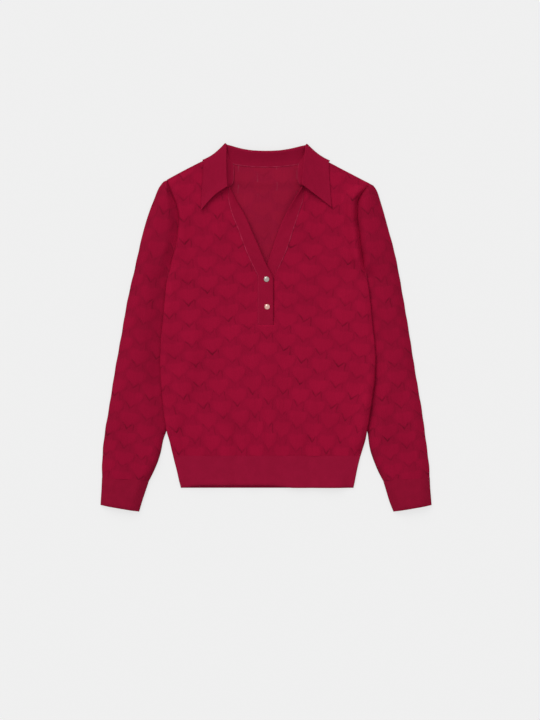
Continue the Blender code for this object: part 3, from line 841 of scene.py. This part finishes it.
# The sleeves take a copy of the body's star knit painted a shade darker: painted shade for the light
# falling off towards the sides.
sleeve_knit_painted_darker = star_knit("star_knit_sleeve_painted_darker", base="89092C", painted_lighter_puff="90092E", line_tone_and_painted_shade="64061E")
sleeves = []
for (name, side), shape in zip(SIDES, SLEEVE_SHAPES):
    sleeve = cloth(name + "_sleeve", SLEEVE_MESH_COLUMNS, SLEEVE_MESH_ROWS,
                   sleeve_place(name, side, shape), KNIT_WALL, sleeve_knit_painted_darker)
    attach(sleeve, "root")
    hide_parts("sleeve_" + name)
    sleeves.append(sleeve)

# Cuffs: short tubes of plain double knit, linked to the sleeve's end and pressed flat.
# Smooth and even, with fine upright wales, a shade darker than the star knit.
BAND_WALL = 1.6
BAND_DEPTH = 60.0                          # of the cuffs and the hem
CUFF_TOP_Z = 3.9
CUFF_FOLD = (CUFF_TOP_Z - BAND_WALL / 2.0) / 2.0
CUFF_MESH_COLUMNS, CUFF_MESH_ROWS = 96, 24
CUFF_ROWS = table("share left_x left_y right_x right_y in_left in_right in_y", [
    (0, 310.7, -283.4, 310.3, -283.4, 222.3, 222.7, -287.4),
    (0.33, 311.6, -302, 311.2, -302, 229, 228.8, -308),
    (0.66, 312.6, -319.5, 312.6, -319.5, 235.6, 234.8, -328),
    (1, 313.4, -335, 313.6, -335.2, 241.4, 242.6, -347.4),
])


def plain_knit(name, base, shade, size):
    """Plain double knit of the same yarn: smooth, matt and dense, with a fine stitch and
    hardly any change of colour over it."""
    material, tree, shader = soft_knit(name, 0.8)
    cloth_map = add(tree, "UVMap", uv_map="cloth")
    depth = ramp(tree, patches(tree, cloth_map, 1.0 / size, 3.0), 0.3, 0.7)
    colour = blend(tree, depth, linear(base), linear(shade))
    tree.links.new(colour, shader.inputs["Base Color"])
    bump = add(tree, "Bump", Strength=0.2, Distance=MM, Height=stitches(tree, cloth_map))
    tree.links.new(bump, shader.inputs["Normal"])
    return material


def cuff_place(name, side):
    def place(u, v):
        share = 1.0 - v
        outer_x = follow(CUFF_ROWS, "share", name + "_x", share)
        outer_y = follow(CUFF_ROWS, "share", name + "_y", share)
        inner_x = follow(CUFF_ROWS, "share", "in_" + name, share)
        inner_y = follow(CUFF_ROWS, "share", "in_y", share)
        long = np.hypot(outer_x - inner_x, outer_y - inner_y)
        flat = long - 2.0 * CUFF_FOLD
        fold = np.pi * CUFF_FOLD
        way = (u * 2.0 * (flat + fold)) % (2.0 * (flat + fold) - 1e-9)
        over = np.clip(way, 0.0, flat)
        turn = np.clip(way - flat, 0.0, fold) / CUFF_FOLD
        under = np.clip(way - flat - fold, 0.0, flat)
        back_turn = np.clip(way - 2.0 * flat - fold, 0.0, fold) / CUFF_FOLD
        along = CUFF_FOLD + over + CUFF_FOLD * (np.sin(turn) - np.sin(back_turn)) - under
        x = mix(inner_x, outer_x, along / long)
        y = mix(inner_y, outer_y, along / long)
        swell = 0.25 * rolling(x, y, 34.0, 1.0 + side)
        swell = swell * rounded(over / 9.0) * rounded((flat - over) / 9.0)
        plump = SLEEVE_BULGE * bowed(over / BULGE_EDGE) * bowed((flat - over) / BULGE_EDGE)
        plump = plump * rounded((1.0 - share) / 0.2 + 0.35)
        top = CUFF_TOP_Z + swell + plump - 0.35 * fade(share / 0.4)
        z = mix(BAND_WALL / 2.0, top, 0.5 + 0.5 * np.cos(turn + back_turn))
        return side * x, y, z, side * way, BAND_DEPTH * share
    return place


cuff_knit = plain_knit("plain_double_knit", "850B2B", "8A0C2D", 14.0)
for (name, side), sleeve in zip(SIDES, sleeves):
    cuff = cloth(name + "_cuff", CUFF_MESH_COLUMNS, CUFF_MESH_ROWS, cuff_place(name, side),
                 BAND_WALL, cuff_knit, ring=True)
    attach(cuff, "root")
    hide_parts("cuff_" + name)

# Hem bands: plain double knit, linked to the front and the back.  The front band lies on
# the back one, and its lower edge lifts a little on the left, where the back one shows.
HEM_BOTTOM_Y = -302.0
# x between which the lower edge lifts and stands proud: start, softness, end, softness
HEM_LIFT, HEM_PROUD = (-158.0, 30.0, 5.0, 50.0), (10.0, 70.0, 130.0, 30.0)
HEM_LIFT_Y, HEM_LIFT_Z, HEM_PROUD_Z = 4.6, 3.2, 4.5
HEM_CREASES = table(CREASE, [
    (-59, -205, -57, -330, 10, -2),
    (-30, -225, -26, -330, 12, 0.9),
    (28, -225, 24, -330, 10, -0.8),
    (52, -225, 56, -330, 12, 0.9),
    (82, -205, 86, -330, 9, -1.4),
    (122, -225, 118, -330, 14, 0.8),
    (-118, -225, -122, -330, 14, 0.8),
])


def hem_back_place(u, v):
    y = mix(HEM_BOTTOM_Y, HEM_SEAM_Y - 0.3, v)
    x = 2.0 * (u - 0.5) * body_side(u - 0.5, y)
    return x, y - 0.6 * (1.0 - v), np.full_like(x, BAND_WALL / 2.0), x, BAND_DEPTH * v


def hem_front_place(u, v):
    y = mix(HEM_BOTTOM_Y, HEM_SEAM_Y - 0.3, v)
    share = 2.0 * np.abs(u - 0.5)
    x = 2.0 * (u - 0.5) * body_side(u - 0.5, y)
    lift = window(x, *HEM_LIFT) * (1.0 - v) ** 2
    proud = window(x, *HEM_PROUD) * (1.0 - v) ** 2
    y = y + 0.8 * v + HEM_LIFT_Y * lift
    free = fade((share - 0.9) / 0.1)
    z = mix(FRONT_HEM_Z + 0.5, BAND_WALL * 1.5 + 0.3, ease((share - 0.85) / 0.13))
    z = z + (0.35 * rolling(x, y, 70.0, 0.6) + HEM_LIFT_Z * lift + HEM_PROUD_Z * proud) * free
    z = z - 1.0 * (1.0 - rounded(v / 0.08)) - 0.4 * fade((1.0 - v) / 0.4)
    z = z + creased(x, y, HEM_CREASES) * free
    return x, y, z, x, BAND_DEPTH * v


hem_knit = plain_knit("plain_hem_knit", "8B0D2F", "8F0E31", 18.0)
hem_back = cloth("hem_back", 140, 24, hem_back_place, BAND_WALL, hem_knit)
hem_front = cloth("hem_front", 150, 26, hem_front_place, BAND_WALL, hem_knit)
for hem, node in ((hem_back, "hem_band_back"), (hem_front, "hem_band_front")):
    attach(hem, "root")
    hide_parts(node)

# Placket bands: two strips of plain double knit, folded and linked along the edges of the
# V.  They part at its point, and below it the left band is buttoned over the right one.
# left, right: how far each band's inner edge lies from the middle; left_z, right_z: height
BAND_INNER = table("y left right left_z right_z", [
    (5.8, -14.3, -14.3, 5.2, 3),
    (30, -14.3, -14.3, 6.3, 3),
    (85, -14.3, -14.3, 6.6, 3),
    (93, -13.6, -13.6, 6.8, 3),
    (100, -11.6, -10.8, 7, 3),
    (122, 0, 1.9, 9, 3.2),
    (151, 12.3, 11.6, 9.6, 3.6),
    (185, 27.2, 23.2, 9, 4.2),
    (214, 39.6, 36.2, 6.6, 8.5),
    (240, 54.4, 50.4, 3.6, 13),
    (267, 68.2, 68.4, 3.4, 14.5),
])
BAND_BOTTOM_Y, BAND_TOP_Y = 5.8, 268.5
BAND_WIDE = 20.0
BAND_PART_Y = 98.0                         # they lie on each other below, and part above
BAND_UNDER_Z = 3.4                         # the right one's sewn edge, where it is covered
BAND_MESH_COLUMNS, BAND_MESH_ROWS = 14, 116
SEAM_OVERLAP = 0.7


def linked_knit(name, base, shade, stitch_painted_highlight, size, highlight_faint_below=None):
    """Plain knit with its first millimetre a row of linking stitches, painted lighter: a painted
    highlight for their rounder loops catching light.
    highlight_faint_below: the painted highlight hardly shows below this place along it."""
    material = plain_knit(name, base, shade, size)
    tree = material.node_tree
    shader = tree.nodes["Principled BSDF"]
    across, along = split(tree, add(tree, "UVMap", uv_map="cloth"))
    chain = ramp(tree, across, 0.9, 1.5, 1.0, 0.0)
    broken = add(tree, "TexNoise", noise_dimensions="1D", W=along, Scale=0.09, Detail=2.0)
    shown = add(tree, "Math MULTIPLY", chain, ramp(tree, broken, 0.35, 0.6, 0.35, 1.0))
    if highlight_faint_below:
        new = ramp(tree, along, highlight_faint_below - 12.0, highlight_faint_below + 12.0, 0.15, 1.0)
        shown = add(tree, "Math MULTIPLY", shown, new)
    knit_colour = shader.inputs["Base Color"].links[0].from_socket
    # Painted highlight: the linking stitches take the lighter colour.
    colour = blend(tree, shown, knit_colour, linear(stitch_painted_highlight))
    tree.links.new(colour, shader.inputs["Base Color"])
    return material


def band_place(name, side):
    def place(u, v):
        y = mix(BAND_BOTTOM_Y, BAND_TOP_Y, v)
        first = np.round(BAND_MESH_COLUMNS * u) == 1          # close to the seam, below the V
        u = np.where(first, mix(0.01, u, ease((y - 88.0) / 16.0)), u)
        neck = follow(FRONT_NECK, "y", name, y)
        x = mix(neck + SEAM_OVERLAP, follow(BAND_INNER, "y", name, y), u)
        outer_z = front_height(side * neck, y) + BAND_WALL / 2.0 - 0.5 * fade((y - 92.0) / 12.0)
        if side > 0.0:                     # it dips to pass under the left band
            outer_z = mix(outer_z, BAND_UNDER_Z, fade((y - BAND_PART_Y) / 27.0))
        inner_z = follow(BAND_INNER, "y", name + "_z", y)
        turned = ease((y - 190.0) / 30.0)
        z = mix(outer_z, inner_z, mix(ease(u), u ** 2.2, turned))
        z = z - 0.7 * (1.0 - rounded((1.0 - u) / 0.12)) - 0.4 * (1.0 - rounded(u / 0.1))
        z = z - 0.5 * (1.0 - rounded((y - 6.7) / 4.0))
        z = z + 0.25 * rolling(x, y, 45.0, side) * u * (1.0 - u) * 4.0
        return side * x, y, z, BAND_WIDE * u, y
    return place


# Its lighter seam colour is a painted highlight.
band_knit = linked_knit("plain_band_knit", "8C0A2D", "900B2F", "B22B4C", 12.0, highlight_faint_below=104.0)
left_band, right_band = (cloth(name + "_band", BAND_MESH_COLUMNS, BAND_MESH_ROWS,
                               band_place(name, side), BAND_WALL, band_knit)
                         for name, side in SIDES)
for band, node in ((left_band, "placket_top"), (right_band, "placket_under")):
    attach(band, "root")
    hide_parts(node)

# Collar: one strip of plain knit.  Its stand is linked to the neck, it rolls over, and its
# fall lies on the front with two points, goes round the shoulders and under the back.
COLLAR_WALL = 1.2
COLLAR_LENGTH = 336.0
COLLAR_MESH_COLUMNS, COLLAR_MESH_ROWS = 44, 336
STAND_SHARE, ROLL_SHARE = 10 / 44, 18 / 44     # where the stand and the roll end
STAND_HIGH = 32.0
FRONT_ROLL_RADIUS, BACK_ROLL_RADIUS = 1.2, 2.2
STAND_OUT, FALL_OUT = 0.9, 3.1             # how far it stands out where it turns over the shoulder
FALL_START = 0.12                          # how far into its soft curve the fall starts
# step: place along the collar from its right point; turn: 90 on top of the front, -90
# beneath the back; bow: how far the fall's middle bows up the garment; stand_z, fall_z:
# heights of the stand and the fall at the roll; edge_z: of the fall's outer edge
COLLAR_ROWS = table("step roll_x roll_y edge_x edge_y seam_x seam_y turn bow "
                    "seam_z stand_z fall_z edge_z", [
    (0, 68.6, 271.6, 124.6, 229.6, 69.6, 268.8, 90, 0.5, 7, 13.8, 16.6, 7.2),
    (6, 68.6, 276.2, 124.2, 236, 62.6, 275.5, 90, 0.4, 6, 13.5, 16.2, 6.4),
    (18, 68.8, 286, 123.4, 250, 60.6, 285, 90, 0, 5, 12.2, 14.4, 5.9),
    (36, 70.4, 304, 121.4, 274, 60.2, 300, 90, 0, 4.6, 11.6, 14, 5.9),
    (58, 73.2, 327, 120, 298, 63, 314, 90, -1, 4, 10.6, 12.8, 5.9),
    (80, 75, 346.6, 119.4, 315, 75, 326.2, 90, -3, 3.6, 8.8, 10.8, 5.6),
    (83, 75.4, 347.1, 119.5, 315.5, 76.2, 327.4, 55, -3.4, 3.4, 8.4, 9.2, 5),
    (86, 75.4, 347.4, 119.5, 315.6, 77, 328.2, 0, -3.5, 3.4, 8.4, 6, 3.6),
    (89, 75.2, 347.4, 119, 315.4, 76.6, 327, -55, -3.2, 3.4, 8.4, 2.6, 1.8),
    (92, 74.4, 347.2, 118, 315.2, 75.6, 325.2, -90, -2.8, 3.4, 8.2, 0.7, 0.7),
    (103, 64, 344.6, 97, 305.9, 69.4, 314.6, -90, 0, 3.5, 11, 0.6, 0.6),
    (112, 56, 342.6, 85, 300.1, 59.6, 311.2, -90, 0, 3.5, 11.2, 0.6, 0.6),
    (128, 40, 339.2, 62, 292.5, 43, 308.6, -90, 0, 3.5, 11.4, 0.6, 0.6),
    (147, 21, 336.8, 33, 287, 22, 306.8, -90, 0, 3.5, 11.6, 0.6, 0.6),
    (168, 0, 336.1, 0, 285, 0, 306.1, -90, 0, 3.5, 11.6, 0.6, 0.6),
    (189, -21, 336.8, -33, 287, -22, 306.8, -90, 0, 3.5, 11.6, 0.6, 0.6),
    (208, -40, 339.2, -62, 292.5, -43, 308.6, -90, 0, 3.5, 11.4, 0.6, 0.6),
    (224, -56, 342.9, -85, 300.1, -59.6, 311.2, -90, 0, 3.5, 11.2, 0.6, 0.6),
    (233, -64, 345.4, -97, 305.9, -69.4, 314.6, -90, 0, 3.5, 11, 0.6, 0.6),
    (244, -74, 348.3, -117.6, 316.6, -75.6, 325.2, -90, -3.4, 3.4, 8.2, 0.7, 0.7),
    (247, -74.8, 348.7, -118.4, 316.8, -76.6, 327, -55, -3.8, 3.4, 8.4, 2.6, 1.8),
    (250, -75, 348.7, -118.8, 316.8, -77, 328.2, 0, -4, 3.4, 8.4, 6, 3.6),
    (253, -75, 348.4, -118.8, 316.6, -76.2, 327.4, 55, -3.8, 3.4, 8.4, 9.2, 5),
    (256, -74.8, 347.8, -118.6, 316, -75, 326.2, 90, -3.4, 3.4, 8.4, 10.4, 5.6),
    (278, -75, 327, -119.4, 297, -63, 314, 90, -1, 4, 10.6, 12.8, 5.9),
    (300, -74.8, 306, -121, 273, -61.4, 300, 90, 1, 4.6, 11.6, 14.2, 5.9),
    (318, -74.2, 287, -122.6, 249, -61.6, 285, 90, 3, 5, 12.2, 14.8, 6.4),
    (330, -73.4, 274.6, -123.2, 232, -63.4, 275.5, 90, 4.8, 6, 13.6, 16.3, 7.8),
    (336, -73, 268.4, -123.6, 223.4, -70, 268.8, 90, 5.6, 6.6, 13.9, 16.8, 9),
])


def collar_place(u, v):
    u = np.where(u < 0.5, crisp(u, COLLAR_MESH_COLUMNS), u)
    step = COLLAR_LENGTH * v
    first = COLLAR_ROWS[0]
    at = first._make(follow(COLLAR_ROWS, "step", name, step) for name in first._fields)
    span = np.hypot(at.edge_x - at.roll_x, at.edge_y - at.roll_y)
    run_x = (at.edge_x - at.roll_x) / span
    run_y = (at.edge_y - at.roll_y) / span
    side = np.where(step < COLLAR_LENGTH / 2.0, 1.0, -1.0)
    sideways = np.cos(np.radians(np.clip(at.turn, -90.0, 90.0)))
    roll = mix(BACK_ROLL_RADIUS, FRONT_ROLL_RADIUS, ease(at.turn / 180.0 + 0.5))
    stand = np.clip(u / STAND_SHARE, 0.0, 1.0)
    angle = np.pi * np.clip((u - STAND_SHARE) / (ROLL_SHARE - STAND_SHARE), 0.0, 1.0)
    fall = np.clip((u - ROLL_SHARE) / (1.0 - ROLL_SHARE), 0.0, 1.0)
    rolled = 0.5 - 0.5 * np.cos(angle)
    reach = np.where(fall > 0.0, mix(roll, span, fall), roll * (1.0 - np.sin(angle)))
    out = sideways * mix(STAND_OUT, FALL_OUT, rolled)
    over_x = at.roll_x + run_x * reach - run_y * side * out
    over_y = at.roll_y + run_y * reach + run_x * side * out + at.bow * np.sin(np.pi * fall)
    soft_fall = ease(mix(FALL_START, 1.0, fall)) - ease(FALL_START) * (1.0 - fall)
    over_z = mix(mix(at.stand_z, at.fall_z, rolled), at.edge_z, mix(soft_fall, rounded(fall), 0.4))
    over_z = over_z + ease(at.turn / 90.0) * 0.3 * rolling(over_x, over_y, 40.0, 0.9) * fall
    on_stand = u < STAND_SHARE
    x = np.where(on_stand, mix(at.seam_x, at.roll_x + run_x * roll, stand), over_x)
    y = np.where(on_stand, mix(at.seam_y, at.roll_y + run_y * roll, stand), over_y)
    stand_z = mix(at.seam_z, at.stand_z, 0.5 * stand ** 2 * (3.0 - stand))
    z = np.where(on_stand, stand_z, over_z) - 0.25 * (1.0 - rounded(u / 0.03))
    return x, y, z, STAND_HIGH * u / STAND_SHARE, step


# Its lighter seam colour is a painted highlight.
collar_knit = linked_knit("plain_collar_knit", "8C0B2E", "900C30", "AE2F4E", 16.0)
collar = cloth("collar_strip", COLLAR_MESH_COLUMNS, COLLAR_MESH_ROWS, collar_place, COLLAR_WALL,
               collar_knit, even=False)
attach(collar, "root")
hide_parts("collar")

# Buttons: pressed metal shirt buttons on a shank, domed with a turned rim.  The upper one
# is silver coloured, the lower one rose gold.  They hold the left band on the right one.
BUTTON_SEAT_Z = 6.3
BUTTON_MESH_STEPS = 48
BUTTON_PROFILE = table("radius height", [
    (0, 0),
    (4.8, 0),
    (5.5, 0.15),
    (5.65, 0.4),
    (5.35, 0.9),
    (4.95, 1.4),
    (4.6, 1.65),
    (4.2, 1.7),
    (3.9, 1.6),
    (3.6, 1.68),
    (2.8, 2.05),
    (1.6, 2.4),
    (0, 2.58),
])


def polished(name, hex_colour, roughness):
    """Plated brass, pressed and polished: bright, with fine scratches from handling."""
    material, tree, shader = finish_of(name, Metallic=1.0, Base_Color=linear(hex_colour))
    place = add(tree, "TexCoord", output="Object")
    worn = add(tree, "TexNoise", Vector=place, Scale=900.0, Detail=3.0)
    tree.links.new(ramp(tree, worn, 0.0, 1.0, roughness, roughness + 0.12), shader.inputs["Roughness"])
    bump = add(tree, "Bump", Strength=0.15, Distance=0.0002, Height=worn)
    tree.links.new(bump, shader.inputs["Normal"])
    return material


for name, x, y, hex_colour in (("upper", 1.0, 93.3, "B9ADA8"), ("lower", 2.2, 41.0, "E9B6AC")):
    bm = bmesh.new()
    ring = [bm.verts.new((point.radius * MM, 0.0, point.height * MM)) for point in BUTTON_PROFILE]
    edges = [bm.edges.new(pair) for pair in zip(ring, ring[1:])]
    bmesh.ops.spin(bm, geom=ring + edges, axis=(0, 0, 1), cent=(0, 0, 0), angle=2 * np.pi,
                   steps=BUTTON_MESH_STEPS, use_merge=True)
    bmesh.ops.remove_doubles(bm, verts=bm.verts, dist=1e-6)
    bmesh.ops.recalc_face_normals(bm, faces=bm.faces)
    bmesh.ops.translate(bm, verts=bm.verts, vec=(x * MM, y * MM, BUTTON_SEAT_Z * MM))
    mesh = bpy.data.meshes.new(name + "_button")
    bm.to_mesh(mesh)
    bm.free()
    mesh.shade_smooth()
    mesh.materials.append(polished(name + "_button_metal", hex_colour, 0.16))
    button = placed(name + "_button", mesh)
    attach(button, "root")
    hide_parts("button_" + name)

# Floor: a plain pale table, just below the cloth.  It glows a little, so that it stays
# evenly pale round the garment, and the garment takes no light back from it.
TABLE_Z = -0.3
bm = bmesh.new()
bmesh.ops.create_grid(bm, x_segments=1, y_segments=1, size=6.0)
bmesh.ops.translate(bm, verts=bm.verts, vec=(0.0, 0.0, TABLE_Z * MM))
floor_mesh = bpy.data.meshes.new("floor")
bm.to_mesh(floor_mesh)
bm.free()
floor = placed("floor", floor_mesh)
floor_paint, _, _ = finish_of("pale_matt_table", Base_Color=(0.18, 0.18, 0.18, 1.0), Roughness=0.9,
                              Specular_IOR_Level=0.1, Emission_Color=(1.0, 1.0, 1.0, 1.0),
                              Emission_Strength=0.69)
floor_mesh.materials.append(floor_paint)
floor.visible_diffuse = False

# Light and camera: an even sky above the table, a wide soft light overhead and a window to
# the upper left, seen from straight above
world = bpy.data.worlds.new("studio")
bpy.context.scene.world = world
world.use_nodes = True
sky = world.node_tree.nodes["Background"]
direction = add(world.node_tree, "TexCoord", output="Generated")
upward = add(world.node_tree, "SeparateXYZ", direction, output="Z")
above = ramp(world.node_tree, upward, -0.05, 0.1)
world.node_tree.links.new(above, sky.inputs["Color"])
sky.inputs["Strength"].default_value = 0.47

LIGHTS = table("name energy spread tilt turn", [
    ("overhead_softbox", 0.8, 2.2, 0.1, 0.0),
    ("window", 1.45, 0.7, 1.0, 0.45),
])
for light in LIGHTS:
    light_data = bpy.data.lights.new(light.name, "SUN")
    light_data.energy = light.energy
    light_data.angle = light.spread
    placed(light.name, light_data).rotation_euler = (-light.tilt, 0.0, light.turn)

camera_data = bpy.data.cameras.new("camera")
camera_data.sensor_width = 36.0
camera_data.lens = 78.95
camera = placed("camera", camera_data)
camera.location = (0.0076, -0.0599, 3.0)
bpy.context.scene.camera = camera
bpy.context.scene.view_settings.view_transform = "Standard"
